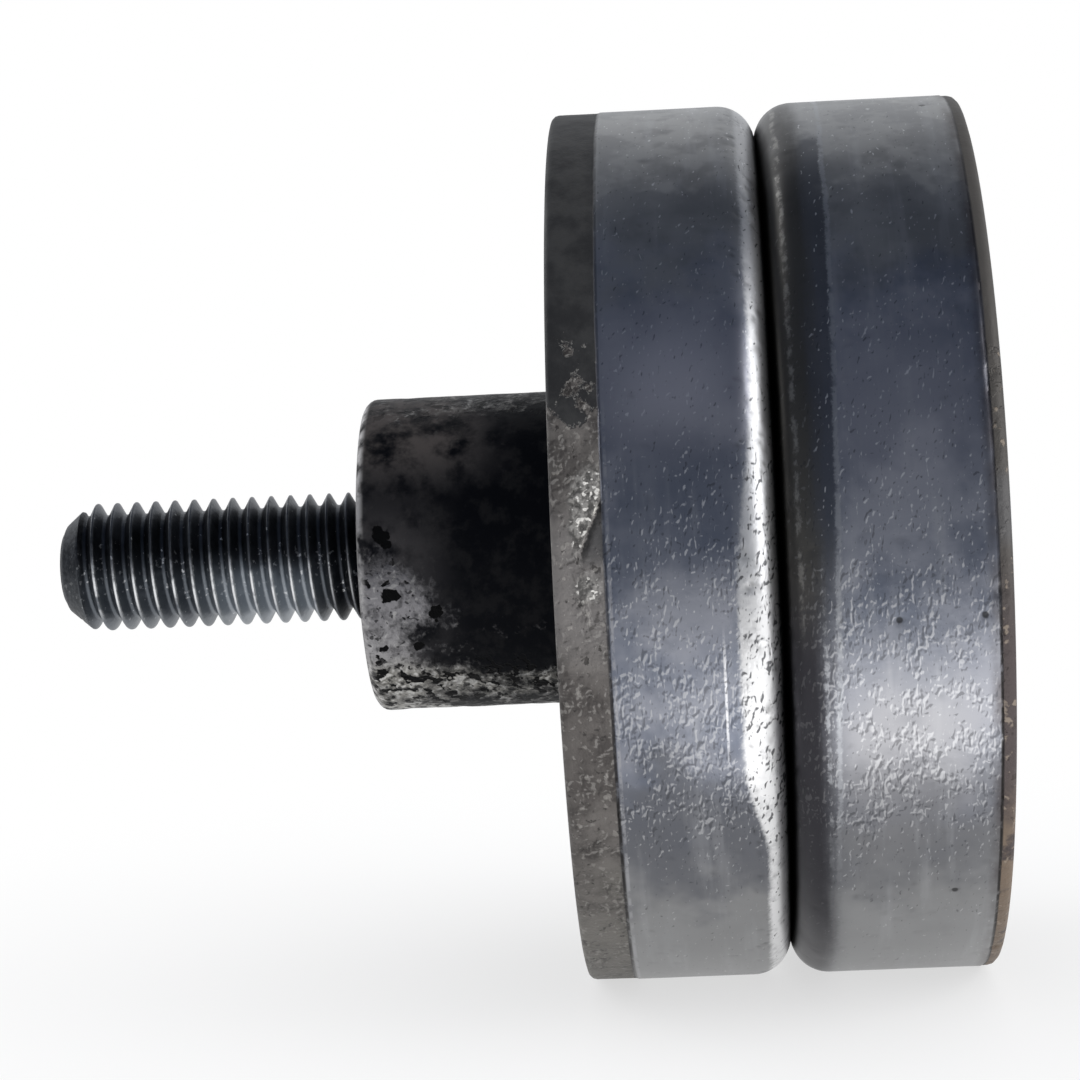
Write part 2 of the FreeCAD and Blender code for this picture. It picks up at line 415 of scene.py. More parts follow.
def torn(skin, band, side, score):
    """Tear the scale off the band beside the score, on the camera's side, and raise a scab by it."""
    for vert in skin.verts:
        if not vert[band]:
            continue
        up = degrees_up(vert.co)
        out = Vector((vert.co.x, 0, vert.co.z)).normalized()
        from_score = side * vert.co.y - score
        edge_line = 0.05 * mm + 1.6 * mm * rise(up, 10.5, 1.6) + 0.15 * noise.noise(vert.co * 900) * mm
        past_line = from_score - edge_line
        in_tear = rise(up, 1.6, 2.8) * rise(up, 10.5, 8.8)
        in_scab = rise(up, 2.8, 4.0) * rise(up, 14.0, 11.2)
        vert.co -= out * tear_depth * in_tear * rise(past_line, 0.05 * mm, -0.15 * mm)
        raised = in_scab * rise(past_line, -0.1 * mm, 0.15 * mm) * rise(from_score, 2.9 * mm, 1.9 * mm)
        vert.co += out * scab_height * raised * (0.6 + 0.4 * noise.noise(vert.co * 1500))


def cup(name, side, band_width, rim_edge, pits, has_tear, material):
    """One cup, with its web on the seam and its rim open towards side * Y."""
    lip_radius = bearing_radius - lip_width
    score = half_width - band_width
    band_radius = rim_radius - band_step
    inside = rim_radius - sheet_thickness
    pocket_outside = bearing_radius + sheet_thickness
    lip_outside = bearing_face + sheet_thickness
    corners = (
        (lip_radius, bearing_face, 0),
        (bearing_radius, bearing_face, lip_bend),
        (bearing_radius, 0, outside_bend),
        (rim_radius, 0, outside_bend),
        (rim_radius, score - score_width / 2, 0),
        (rim_radius - score_depth, score, 0),
        (band_radius, score + score_width / 2, 0),
        (band_radius, half_width, rim_edge),
        (inside, half_width, inside_edge),
        (inside, sheet_thickness, bend),
        (pocket_outside, sheet_thickness, bend),
        (pocket_outside, lip_outside, lip_bend + sheet_thickness),
        (lip_radius, lip_outside, 0),
    )
    flat = section(*((radius, side * along, rounding) for radius, along, rounding in corners))
    rowed(flat, band_radius - 0.01 * mm, row_width)
    skin = spun(flat, around_steps)

    band = skin.verts.layers.float.new("band")
    pit = skin.verts.layers.float.new("pit")
    skin.normal_update()
    for vert in skin.verts:
        along = side * vert.co.y
        radius = math.hypot(vert.co.x, vert.co.z)
        out = Vector((vert.co.x, 0, vert.co.z)) / radius
        if along > score + score_width / 4 and radius > inside + 0.3 * mm:
            vert[band] = 1.0
            vert.co -= out * uneven(vert.co, *band_bumps)
        elif radius > rim_radius - 0.7 * outside_bend:
            vert.co -= vert.normal * uneven(vert.co, *wall_bumps)
        if abs(along - score) < score_width and radius > rim_radius - 2 * score_depth:
            in_groove = rise(abs(along - score), score_width / 4, 0)
            vert.co.y += side * uneven(out, 0, (0.04, 9), (0.02, 37))
            filled = 0.45 + 0.45 * noise.noise(out * 19 + Vector((0, 3, 0)))
            vert.co += out * in_groove * filled * score_depth
    if has_tear:
        torn(skin, band, side, score)
    pitted(skin, pit, pits)
    return pierced(finished(name, skin, material, sharp_degrees=50), rivet_drills())


def shoulder_radius(along):
    """Radius of the rounded shoulder, that far from the seam."""
    rest = max(0.0, outside_bend - along)
    return rim_radius - outside_bend + math.sqrt(outside_bend ** 2 - rest ** 2)


chance = random.Random(31)


def stray_pits(count, side, nearest, furthest, size, depth):
    """Pits at random places on one cup, between two distances from the seam."""
    made = []
    for _ in range(count):
        along = chance.uniform(nearest, furthest)
        place = on_turn(chance.uniform(-180, 180), shoulder_radius(along), side * along)
        made.append((place, chance.uniform(*size), chance.uniform(*depth)))
    return made


small_pit = (0.3 * mm, 0.45 * mm)
shallow = (0.01 * mm, 0.03 * mm)
nick = (0.25 * mm, 0.42 * mm)
deep = (0.02 * mm, 0.07 * mm)
back_pits = stray_pits(150, 1, 2.8 * mm, 11.0 * mm, small_pit, shallow)
back_pits += stray_pits(240, 1, 0.5 * mm, 2.6 * mm, nick, deep)
front_pits = stray_pits(200, -1, 2.8 * mm, 13.8 * mm, small_pit, shallow)
front_pits += stray_pits(120, -1, 0.6 * mm, 2.6 * mm, nick, shallow)
front_pit_places = ((73.8, 12.2), (-6.3, 7.5), (-6.1, 13.1), (-45, 11.1))
rim_dents = ((-3.3, 14.3), (22, 14.5), (-31, 14.4), (-62, 14.5), (128, 14.5), (-140, 14.4))
for places, size, depth in ((front_pit_places, 0.38 * mm, 0.08 * mm), (rim_dents, 0.7 * mm, 0.2 * mm)):
    for degrees, along in places:
        front_pits.append((on_turn(degrees, rim_radius, -along * mm), size, depth))


def effect(name, takes, gives):
    """A new shader group with named inputs and outputs, its input sockets and its output node."""
    group = bpy.data.node_groups.new(name, "ShaderNodeTree")
    for label, kind in takes.items():
        group.interface.new_socket(label, in_out="INPUT", socket_type=kind)
    for label in gives:
        group.interface.new_socket(label, in_out="OUTPUT", socket_type="NodeSocketFloat")
    return group, add(group, "NodeGroupInput").outputs, add(group, "NodeGroupOutput")


def grains(place, scale, detail=2.0, roughness=0.5, bent=0.0):
    """Soft random pattern from 0 to 1, with scale patches to a millimetre, bent into worms."""
    settings = {"Vector": place, "Scale": scale, "Detail": detail, "Roughness": roughness, "Distortion": bent}
    return Value(add(place.id_data, "ShaderNodeTexNoise", settings).outputs[0])


def roughened(place, scale, detail, step, calm):
    """A random relief: its height from 0 to 1, and masks for painted shade and painted highlight on the two
    sides of its lumps, as if lit from one side.

    Calm takes the weaker sides away, and at 0.2 it leaves none.
    """
    height = grains(place, scale, detail, bent=0.5)
    beside = grains(vector_calc("ADD", place, (0, step, step))[0], scale, detail, bent=0.5)
    slope = beside - height
    return height, ramp(slope - calm, 0.01, 0.14), ramp(slope + calm, -0.01, -0.14)


def worked_skin_effect():
    """Skin of pressed steel: a peeled relief with painted shade and painted highlight on its sides, draw
    streaks and clouds.
    """
    takes = {"Place": "NodeSocketVector", "Peel": "NodeSocketFloat"}
    group, takes, gives = effect("worked_skin", takes, ("Height", "Clouds", "Streaks", "Painted_shade", "Painted_highlight"))
    place = takes["Place"]
    peeled = ramp(grains(place, 0.45, 3.0, 0.6), 0.34, 0.58) * takes["Peel"]
    along_turn = vector_calc("MULTIPLY", place, (1, 1.7, 1))[0]
    # The relief's sides are painted: shade on one side of each lump, highlight on the other.
    relief, painted_shade, painted_highlight = roughened(along_turn, 1.65, 1.2, 0.14, peeled * -0.17 + 0.17)
    drawn = vector_calc("MULTIPLY", place, (0.08, 0.7, 0.08))[0]
    feed(gives, "Height", relief * peeled * 0.4)
    feed(gives, "Clouds", grains(place, 0.13, 4.0, 0.6))
    feed(gives, "Streaks", grains(drawn, 1.0, 3.0, 0.6))
    feed(gives, "Painted_shade", painted_shade)
    feed(gives, "Painted_highlight", painted_highlight)
    return group


worked_skin = worked_skin_effect()


def dressed(name):
    """A new material, and the place on the part in millimetres."""
    material = bpy.data.materials.new(name)
    material.use_nodes = True
    coordinates = add(material.node_tree, "ShaderNodeTexCoord").outputs["Object"]
    return material, vector_calc("MULTIPLY", coordinates, (1000, 1000, 1000))[0]


def laid_on(place, group, **values):
    """A shared effect put in a material, as its outputs by name."""
    return results(add(place.id_data, "ShaderNodeGroup", {"Place": place, **values}, node_tree=group))


def joined(material, colour, roughness, metallic, height, depth, specular=0.5):
    """The material with its shader fed, and a height of so many metres in its normal through bump."""
    tree = material.node_tree
    shader = tree.nodes["Principled BSDF"]
    bump = add(tree, "ShaderNodeBump", {"Height": height, "Strength": 1.0, "Distance": depth})
    feed(shader, "Base Color", colour)
    feed(shader, "Roughness", roughness)
    feed(shader, "Metallic", metallic)
    feed(shader, "Specular IOR Level", specular)
    feed(shader, "Normal", bump.outputs[0])
    return material


def marked(place, name):
    """A piece's own vertex layer, as a value."""
    return Value(add(place.id_data, "ShaderNodeAttribute", attribute_name=name).outputs["Fac"])


def radius_of(place):
    """How far a place is from the spin axis."""
    return Value(vector_calc("LENGTH", vector_calc("MULTIPLY", place, (1, 0, 1))[0])["Value"])


def in_section(radius, along):
    """A place in the section, the same all round the spin axis."""
    return add(radius.tree, "ShaderNodeCombineXYZ", {"X": radius, "Y": along}).outputs[0]


def line_at(value, centre, reach):
    """1 on a line at the centre, and 0 past its reach."""
    return ramp(abs(value - centre), reach, reach * 0.3)


def spot(place, centre, reach, core=0.1):
    """1 round a centre given in metres, out to a share of its reach, and 0 past its reach."""
    away = Value(vector_calc("DISTANCE", place, Vector(centre) / mm)["Value"])
    return ramp(away, reach, core * reach)


light_cloud = (0.48, 0.47, 0.51)
dark_cloud = (0.13, 0.147, 0.19)
rubbed_grey = (0.34, 0.335, 0.34)
# Each cloud: degrees up, place along Y, reach, share and colour.
wall_clouds = (
    (22.5, 6.6, 8.5, 1.0, light_cloud),
    (9.0, 6.0, 7.0, 0.8, dark_cloud),
    (20.0, -8.0, 10.0, 0.45, light_cloud),
    (-23.5, -7.3, 12.0, 0.75, rubbed_grey),
    (160.0, 7.0, 9.0, 0.7, light_cloud),
    (200.0, -7.0, 11.0, 0.8, rubbed_grey),
)


def drawn_steel_look():
    """Bare drawn steel: a shoulder with burnish and a painted highlight, a grimy one with painted shade, draw
    lines with painted highlights, and rusty scaly bands.
    """
    material, place = dressed("drawn_steel_look")
    x, y, z = axes_of(place)
    radius = radius_of(place)
    broad = grains(place, 0.2, 3.0, 0.6)
    patches = grains(place, 0.9, 4.0, 0.65)
    fine = grains(place, 3.2, 3.0, 0.6)
    broken = ramp(patches, 0.42, 0.62)
    height_up = (broad - 0.5) * 14.0 + z
    ragged = (fine - 0.5) * 0.45 + ((broad - 0.5) * 0.5 + y)
    tilted = z * 0.026 + ragged
    near_side = ramp(x, 0.0, -5.0)
    upper_half = ramp(z, -7.0, 3.0)
    below_top = ramp(height_up, 30.0, 27.0)
    on_front_cup = ramp(y, 0.3, -0.2)

    # The skin is peeled on the lower walls and on the burnished shoulder.
    # The burnished zone with its painted highlight is widest a little below the middle.
    burnish_and_highlight_edge = ramp(z, 13.0, -3.0) * ramp(z, -20.0, -13.5)
    past_edge = ragged - (burnish_and_highlight_edge * 1.4 + 1.6)
    on_shoulder = ramp(ragged, 0.05, 0.4) * ramp(past_edge, 0.22, -0.22)
    peel = ramp(height_up, 9.0, -7.0) * ramp(height_up, -23.0, -15.0)
    peel = peel * 0.7 + ramp(height_up, 24.0, 12.0, 0.3)
    peel = peel * ramp(height_up, -24.0, -18.0)
    shoulder_peel = ramp(height_up, 16.0, 4.0, 0.6) * ramp(height_up, -24.0, -16.0)
    shoulder_peel = (shoulder_peel + 0.3) * on_shoulder
    skin = laid_on(place, worked_skin, Peel=largest(peel, shoulder_peel))

    # The walls are clouded, with a belt of painted shade low down, paler towards the bottom,
    # and a tide line near the top.
    cloud = ramp(skin["Clouds"], 0.38, 0.62)
    blue = mix(cloud, (0.148, 0.164, 0.206), (0.272, 0.282, 0.320))
    grey = mix(cloud, (0.205, 0.206, 0.208), (0.265, 0.267, 0.270))
    colour = mix(ramp(abs(height_up - 1.5), 15.0, 22.0), blue, grey)
    for degrees, along, reach, share, shade in wall_clouds:
        there = spot(place, on_turn(degrees, rim_radius, along * mm), reach)
        colour = mix(there * share, colour, shade)
    # Painted shade: a darker belt low down on the walls, stronger on the back cup.
    painted_shade_belt = line_at(height_up, -18.5, 7.0) * (on_front_cup * -0.35 + 0.85)
    colour = mix(painted_shade_belt, colour, (0.125, 0.130, 0.148))
    colour = mix(ramp(height_up, -18.5, -27.0, 0.5), colour, (0.330, 0.332, 0.338))
    tide = ramp(height_up, 25.6, 26.8)
    stain = tide * ramp(grains(place, 0.3, 3.0, 0.6), 0.60, 0.44)
    colour = mix(stain * 0.4, colour, (0.40, 0.40, 0.395))
    colour = mix(ramp(skin["Streaks"], 0.50, 0.75, 0.25), colour, (0.42, 0.425, 0.44))
    roughness = tide * 0.08 + (cloud * 0.06 + 0.33)

    # The back cup's shoulder is burnished and has a painted highlight, brightest low down and darker at the
    # top.
    # The front cup's shoulder and a strip beside it get painted shade, and the shoulder is greasy as well.
    # Painted highlight on the burnished shoulder: brightest low down, darker at the top.
    burnish_and_highlight = mix(ramp(z, 17.0, 26.0), (0.58, 0.58, 0.585), (0.44, 0.44, 0.445))
    burnish_and_highlight = mix(ramp(z, -9.0, -15.0), burnish_and_highlight, (0.82, 0.82, 0.825))
    burnish_and_highlight = mix(ramp(patches, 0.50, 0.68, 0.40), burnish_and_highlight, (0.36, 0.36, 0.37))
    colour = mix(on_shoulder, colour, burnish_and_highlight)
    roughness = on_shoulder * 0.02 + roughness
    # Painted shade on the front cup's shoulder and the strip beside it, stronger at the top.
    painted_shade_strip = ramp(tilted, upper_half - 5.0, upper_half * -0.9 - 2.4)
    painted_shade_strip = painted_shade_strip * (on_front_cup * below_top) * (upper_half * 0.25 + 0.55)
    colour = mix(painted_shade_strip, colour, (0.066, 0.072, 0.088))
    smeared = (skin["Streaks"] - 0.5) * 1.6 + ragged
    # Grime on the front shoulder with painted shade: darker low down and at the very top.
    grime_and_shade = ramp(smeared, -3.5, -1.8) * on_front_cup * (below_top * 0.15 + 0.85)
    grime_and_shade_colour = mix(upper_half, (0.040, 0.039, 0.045), (0.092, 0.088, 0.081))
    grime_and_shade_colour = mix(ramp(z, 20.0, 27.0), grime_and_shade_colour, (0.052, 0.050, 0.048))
    colour = mix(grime_and_shade, colour, grime_and_shade_colour)
    # Painted highlight on the relief's lit sides, strongest on the shoulder and in the upper half.
    painted_highlight_share = (largest(on_shoulder, upper_half) * 0.3 + 0.34) * (grime_and_shade * -0.85 + 1.0)
    colour = mix(skin["Painted_highlight"] * painted_highlight_share, colour, (0.70, 0.70, 0.71))

    # Lines run round the wheel where the die and the belt have rubbed, painted lighter as highlights on their
    # small ridges.
    # The relief's dark sides and the seam between the cups get painted shade, and the pits are darker the
    # deeper they are.
    # The draw lines are painted lighter, as highlights on their small ridges.
    first_line = line_at(ragged, -1.22, 0.24) * (broken * upper_half)
    colour = mix(first_line * 0.55, colour, (0.33, 0.32, 0.30))
    second_line = line_at(tilted, -3.68, 0.26) * ramp(patches, 0.32, 0.50)
    third_line = line_at(ragged, -2.66, 0.20) * (1.0 - upper_half)
    low_lines = largest(second_line, third_line * broken) * ramp(height_up, -24.0, -14.0, 0.6)
    colour = mix(low_lines, colour, (0.36, 0.37, 0.39))
    scratch = line_at(y, 4.03, 0.13) * line_at(z, -8.4, 5.2)
    scratch = scratch * (near_side * ramp(fine, 0.30, 0.50))
    colour = mix(scratch * 0.85, colour, (0.74, 0.74, 0.76))
    # Painted highlight along the wall's edge by the back score.
    wall_edge_highlight = line_at(y, 11.32, 0.16) * ramp(height_up, 16.0, 10.0)
    wall_edge_highlight = wall_edge_highlight * ramp(patches, 0.36, 0.56)
    colour = mix(wall_edge_highlight * 0.5, colour, (0.42, 0.42, 0.44))
    edge_stain = ramp(ragged, -13.1, -14.0) * ramp(broad, 0.3, 0.6)
    colour = mix(edge_stain * 0.7, colour, (0.070, 0.058, 0.056))
    # Painted shade on the relief's dark sides.
    colour = mix(skin["Painted_shade"] * (on_shoulder * 0.35 + 0.50), colour, (0.045, 0.046, 0.051))
    pit = marked(place, "pit")
    for degrees, along in front_pit_places:
        pit = largest(pit, spot(place, on_turn(degrees, rim_radius, -along * mm), 0.32, 0.5))
    colour = mix(pit * 0.85, colour, (0.025, 0.025, 0.026))
    # Painted shade: the seam between the two cups is near black.
    colour = mix(ramp(abs(y), 0.45, 0.08), colour, (0.012, 0.012, 0.012))

    # Inside, the cups are plain and dull, with fine rings.
    inside = ramp(radius, 31.9, 31.2) * ramp(abs(y), 1.2, 1.8)
    inner = mix(ramp(broad, 0.32, 0.68), (0.150, 0.148, 0.146), (0.225, 0.223, 0.222))
    rings = ramp(grains(in_section(radius, y), 1.3, 3.0, 0.6), 0.45, 0.75, 0.5)
    inner = mix(rings, inner, (0.30, 0.298, 0.297))
    inner = mix(ramp(patches, 0.50, 0.72, 0.4), inner, (0.075, 0.069, 0.064))
    colour = mix(inside, colour, inner)
    roughness = inside * 0.16 + roughness

    # The bands keep black scale at the top. Lower down it has worn to brown, and the front one rusts.
    # The bare band has a belt of painted shade low down and is paler at the bottom. Its chips and hollows are
    # painted lighter and darker, partly as highlight and shade of their relief, and its crumbs get painted
    # shade and highlight.
    band = marked(place, "band")
    mottle = ramp(grains(place, 0.45, 4.0, 0.6), 0.36, 0.64)
    whole_scale = mix(mottle, (0.022, 0.022, 0.023), (0.040, 0.040, 0.040))
    bare_band = mix(mottle, (0.070, 0.063, 0.059), (0.148, 0.136, 0.127))
    pale = spot(place, on_turn(-1, rim_radius, 13.4 * mm), 7.5, 0.3)
    bare_band = mix(pale * 0.55, bare_band, (0.215, 0.203, 0.198))
    # Painted shade: a darker belt low down on the bare band, which is paler at the bottom.
    bare_band = mix(line_at(height_up, -12.0, 8.0) * 0.4, bare_band, (0.056, 0.048, 0.045))
    bare_band = mix(ramp(height_up, -19.0, -26.0, 0.6), bare_band, (0.185, 0.176, 0.158))
    flaking = (grains(place, 0.55, 4.0, 0.6) - 0.5) * 26.0 + z
    worn = ramp(flaking, 11.6, 10.6)
    scale = mix(worn, whole_scale, bare_band)
    plate_edge = line_at(flaking, 11.9, 0.5) * ramp(fine, 0.48, 0.60)
    scale = mix(plate_edge * 0.5, scale, (0.30, 0.29, 0.27))
    # Chips and hollows are painted lighter and darker, partly as highlight and shade of their relief.
    chips = ramp(grains(place, 1.5, 2.0), 0.60, 0.68) * worn
    scale = mix(chips * 0.5, scale, (0.30, 0.285, 0.265))
    hollows = ramp(grains(place, 1.1, 3.0, 0.6), 0.38, 0.32) * worn
    scale = mix(hollows * 0.8, scale, (0.024, 0.021, 0.019))
    # The crumbs get painted shade on one side and painted highlight on the other.
    _, crumb_painted_shade, crumb_painted_highlight = roughened(place, 1.7, 2.0, 0.13, mottle * 0.16)
    scale = mix(crumb_painted_shade * (worn * 0.6), scale, (0.034, 0.030, 0.028))
    scale = mix(crumb_painted_highlight * (worn * 0.4), scale, (0.36, 0.345, 0.325))
    rusty = ramp(height_up, -14.0, -20.0) * ramp(mottle, 0.0, 0.7)
    rust_colour = mix(upper_half, (0.062, 0.048, 0.047), (0.072, 0.066, 0.060))
    rust_colour = mix(rusty, rust_colour, (0.185, 0.138, 0.100))
    rust_colour = mix(chips * 0.5, rust_colour, (0.34, 0.28, 0.22))
    rust_colour = mix(hollows * 0.6, rust_colour, (0.03, 0.022, 0.018))
    scale = mix(ramp(y, -13.4, -14.2), scale, rust_colour)

    # Beside the back score, the scale is torn off in a pocket with painted shade, darkest by the tear,
    # with a pale lip and a scab with painted glints.
    tear = (fine - 0.5) * 0.5 + (y - ramp(z, 6.0, 0.9, 1.6))
    span = ramp(z, 1.3, 2.3) * ramp(z, 8.0, 6.6) * near_side
    outer_edge = (patches - 0.5) * 2.0 + (abs(z - 4.0) ** 2.0 * 0.08 + y)
    scab = ramp(tear, 11.62, 11.82) * ramp(outer_edge, 14.1, 13.6) * span
    scab = largest(scab, spot(place, on_turn(-1.2, rim_radius, 12.8 * mm), 1.3, 0.3))
    speckle = ramp(grains(place, 2.2, 2.0), 0.38, 0.66)
    scab_colour = mix(speckle, (0.075, 0.072, 0.068), (0.30, 0.29, 0.275))
    painted_glints = ramp(grains(place, 2.7, 1.0), 0.60, 0.68)
    scab_colour = mix(painted_glints, scab_colour, (0.78, 0.76, 0.72))
    scale = mix(scab * 0.9, scale, scab_colour)
    # Painted shade in the torn pocket, darkest by the tear.
    pocket = ramp(tear, 11.66, 11.52) * ramp(z, 0.4, 2.0)
    pocket = pocket * (near_side * ramp(z, 6.4, 5.0))
    pocket_colour = mix(ramp(tear, 10.9, 11.45), (0.090, 0.087, 0.087), (0.016, 0.015, 0.015))
    scale = mix(pocket, scale, pocket_colour)
    lip = line_at(tear, 11.74, 0.12) * (span * broken)
    scale = mix(lip * 0.8, scale, (0.72, 0.70, 0.64))

    colour = mix(band, colour, scale)
    back_score = (half_width - back_band_width) / mm
    front_score = (front_band_width - half_width) / mm
    # Painted shade in the score grooves, stronger low down.
    score_line = largest(line_at(y, back_score, 0.17), line_at(y, front_score, 0.15))
    score_line = score_line * ramp(radius, 32.0, 32.4)
    score_line = score_line * ramp(patches, 0.25, 0.5) * (upper_half * -0.45 + 0.9)
    colour = mix(score_line, colour, (0.020, 0.018, 0.017))
    roughness = band * 0.20 + roughness
    metallic = band * -0.65 + 1.0
    scaly = (chips - hollows) * 0.8 + (patches * 3.0 + fine)
    scaly = speckle * scab * 1.5 + scaly * (worn * 0.65 + 0.35)
    height = band * scaly + skin["Height"]
    return joined(material, colour, roughness, metallic, height, 0.05 * mm)


steel = drawn_steel_look()
back_cup = cup("back_cup", 1, back_band_width, back_rim_edge, back_pits, True, steel)
front_cup = cup("front_cup", -1, front_band_width, front_rim_edge, front_pits, False, steel)
for piece, node in ((back_cup, "back_shell"), (front_cup, "front_shell")):
    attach(piece, "wheel")
    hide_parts(node)


# Rivets: six of soft steel, with a round head at the front. They are hammered flat at the back,
# and clamp the two webs together.
def coat(material, *nodes):
    """Give solids of the frame a material."""
    for node in nodes:
        frame["nodes"][node].material_slots[0].material = material


def rivet_look():
    """Dull hammered steel with spots of rust."""
    material, place = dressed("rivet_look")
    skin = laid_on(place, worked_skin, Peel=0.6)
    colour = mix(ramp(skin["Clouds"], 0.35, 0.65), (0.20, 0.195, 0.19), (0.36, 0.355, 0.35))
    rust = ramp(grains(place, 1.4, 4.0, 0.65), 0.58, 0.72)
    colour = mix(rust, colour, (0.12, 0.085, 0.06))
    roughness = grains(place, 0.8, 3.0) * 0.3 + 0.28
    return joined(material, colour, roughness, 1.0, skin["Height"], 0.05 * mm)


coat(rivet_look(), "shell_rivets")


# Bearing rings: two rings of hard steel, ground on their faces and corners. The outer one is pressed
# into the pocket of the cups, and the inner one is clamped on the bolt.
def turned_rings_effect():
    """Fine rings about the spin axis that grinding or turning leaves."""
    group, takes, gives = effect("turned_rings", {"Place": "NodeSocketVector"}, ("Rings",))
    place = takes["Place"]
    _, along, _ = axes_of(place)
    feed(gives, "Rings", grains(in_section(radius_of(place), along), 5.0, 3.0, 0.6))
    return group


turned_rings = turned_rings_effect()


def ground_steel_look():
    """Ground bearing steel with a thin film of grease dirt."""
    material, place = dressed("ground_steel_look")
    rings = laid_on(place, turned_rings)["Rings"]
    film = ramp(grains(place, 0.4, 4.0, 0.6), 0.42, 0.68)
    colour = mix(film, (0.50, 0.50, 0.51), (0.27, 0.262, 0.25))
    return joined(material, colour, film * 0.2 + 0.2, 1.0, rings, 0.012 * mm)


coat(ground_steel_look(), "bearing_outer_ring", "bearing_inner_ring")


# Bearing seals: discs of black rubber moulded on a steel ring, snapped into the outer ring.
# Their lips run on the inner ring and keep the grease in.
def seal_rubber_look():
    """Matt black rubber with moulding rings and a little dust."""
    material, place = dressed("seal_rubber_look")
    rings = laid_on(place, turned_rings)["Rings"]
    dust = ramp(grains(place, 0.7, 4.0, 0.65), 0.50, 0.74)
    colour = mix(dust, (0.014, 0.014, 0.015), (0.060, 0.056, 0.050))
    return joined(material, colour, dust * 0.25 + 0.48, 0.0, rings, 0.02 * mm)


coat(seal_rubber_look(), "bearing_back_seal", "bearing_front_seal")


# Ribbon cage: two pressed steel halves with a pocket for each ball, held by small rivets.
# It sits hidden between the seals, in grease.
def cage_steel_look():
    """Bright pressed sheet with a film of amber grease."""
    material, place = dressed("cage_steel_look")
    skin = laid_on(place, worked_skin, Peel=0.6)
    grease = ramp(grains(place, 0.6, 3.0), 0.42, 0.62)
    colour = mix(grease, (0.46, 0.46, 0.46), (0.34, 0.28, 0.19))
    return joined(material, colour, grease * -0.12 + 0.36, 1.0, skin["Height"], 0.015 * mm)


coat(cage_steel_look(), "cage_back_half", "cage_front_half", "cage_rivets")


# Balls: seven of hard chrome steel, lapped to a mirror. They roll in the grooves of the rings.
def ball_steel_look():
    """Mirror steel with faint running marks."""
    material, place = dressed("ball_steel_look")
    marks = grains(place, 2.0, 4.0, 0.6)
    colour = mix(marks, (0.58, 0.58, 0.59), (0.66, 0.66, 0.665))
    return joined(material, colour, marks * 0.08 + 0.04, 1.0, marks, 0.0005 * mm)


balls = [name for name in frame["nodes"] if name.startswith("bearing_ball_")]
coat(ball_steel_look(), *balls)


# Spacer washer: a plain steel ring, stamped from sheet. It sits between the bearing and the sleeve,
# so that the sleeve doesn't rub on the seal.
def washer_steel_look():
    """Dull plated steel."""
    material, place = dressed("washer_steel_look")
    skin = laid_on(place, worked_skin, Peel=0.6)
    colour = mix(skin["Clouds"], (0.26, 0.26, 0.262), (0.44, 0.44, 0.44))
    return joined(material, colour, skin["Clouds"] * 0.25 + 0.25, 1.0, skin["Height"], 0.015 * mm)


coat(washer_steel_look(), "spacer_washer")


# Spacer sleeve: the round boss that seats on the machine, forged and left black with scale.
# The scale has flaked off near the face and along the underside, where grey steel shows.
sleeve_low, sleeve_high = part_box("spacer_sleeve")
sleeve_radius = sleeve_high.x
sleeve_bore = 5.1 * mm
sleeve_edge = 0.9 * mm
sleeve_chamfer = 0.5 * mm
sleeve_steps = 288
sleeve_row_width = 0.26 * mm
scale_thickness = 0.07 * mm
scale_lumps = 0.02 * mm
# Each chip: degrees up, place along Y and reach.
lost_chips = (
    (10.8, 28.8, 0.75), (7.5, 28.2, 0.45), (-10.9, 28.2, 0.65), (-17.9, 25.0, 0.5), (-6.2, 30.0, 0.4),
    (-32.0, 29.1, 0.5), (-31.8, 26.6, 0.5), (150.0, 27.5, 0.7), (205.0, 26.0, 0.6),
)


def bare_share(place):
    """How far the scale has gone, from about 0 where it is whole to 1 where steel shows."""
    _, along, up = place / mm
    rubbed = math.exp(-((degrees_up(place) + 19) / 29) ** 2 - ((along - 28.8) / 3.8) ** 2)
    underside = 0.36 * rise(up, -6.8, -9.2)
    top = 0.26 * rise(up, 9.6, 11.2)
    patches = 0.26 * noise.noise(place * 230) + 0.14 * noise.noise(place * 700)
    return 0.16 + 0.58 * rubbed + underside + top + patches


def sleeve_skin():
    """The sleeve turned from its section, with its scale flaked away in patches."""
    flat = section(
        (sleeve_bore, sleeve_low.y, 0),
        (sleeve_radius, sleeve_low.y, sleeve_chamfer),
        (sleeve_radius, sleeve_high.y, sleeve_edge),
        (sleeve_bore + sleeve_chamfer, sleeve_high.y, 0),
        (sleeve_bore, sleeve_high.y - sleeve_chamfer, 0),
    )
    rowed(flat, sleeve_bore + 0.1 * mm, sleeve_row_width)
    skin = spun(flat, sleeve_steps)
    bare = skin.verts.layers.float.new("bare")
    skin.normal_update()
    for vert in skin.verts:
        vert[bare] = bare_share(vert.co)
        lost = scale_thickness * rise(vert[bare], 0.48, 0.60)
        lumps = scale_lumps * (1 + noise.noise(vert.co * 500))
        on_wall = abs(vert.normal.y) < 0.95
        if on_wall and math.hypot(vert.co.x, vert.co.z) > sleeve_bore + 1.2 * sleeve_chamfer:
            vert.co -= vert.normal * (lost + lumps)
    return skin


